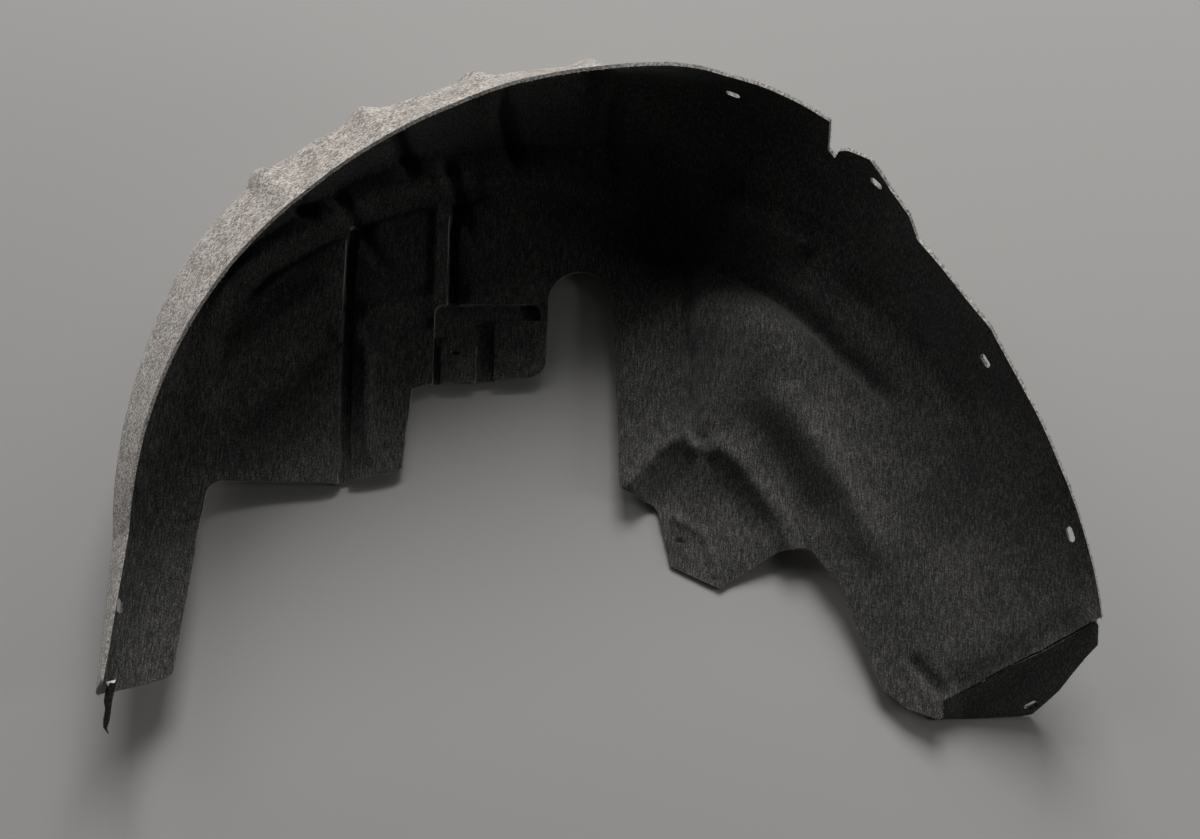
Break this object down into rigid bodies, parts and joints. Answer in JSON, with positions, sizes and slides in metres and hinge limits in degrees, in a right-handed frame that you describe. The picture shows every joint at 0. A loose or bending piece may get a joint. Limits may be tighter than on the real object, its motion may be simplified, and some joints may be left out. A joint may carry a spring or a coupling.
{
  "type": "wheel arch liner",
  "caption": "Moulded felt wheel arch liner with stepped risers, pressed beads, a U-shaped strut slot, a lobed hem, a folded tail flap and oblong clip slots.",
  "frame": {"origin": "under the middle of the part's box, on the surface it lies on", "axes": "+X along the arch from the leg to the tail, +Y towards the arch's top, +Z from the inboard wall to the rim"},
  "size_m": [0.8488, 0.5648, 0.2431],
  "materials": {
    "felt": "black fleece on the wheel side, mottled grey felt on the body side"
  },
  "bodies": {
    "root": {"liner": "felt"}
  },
  "joints": []
}
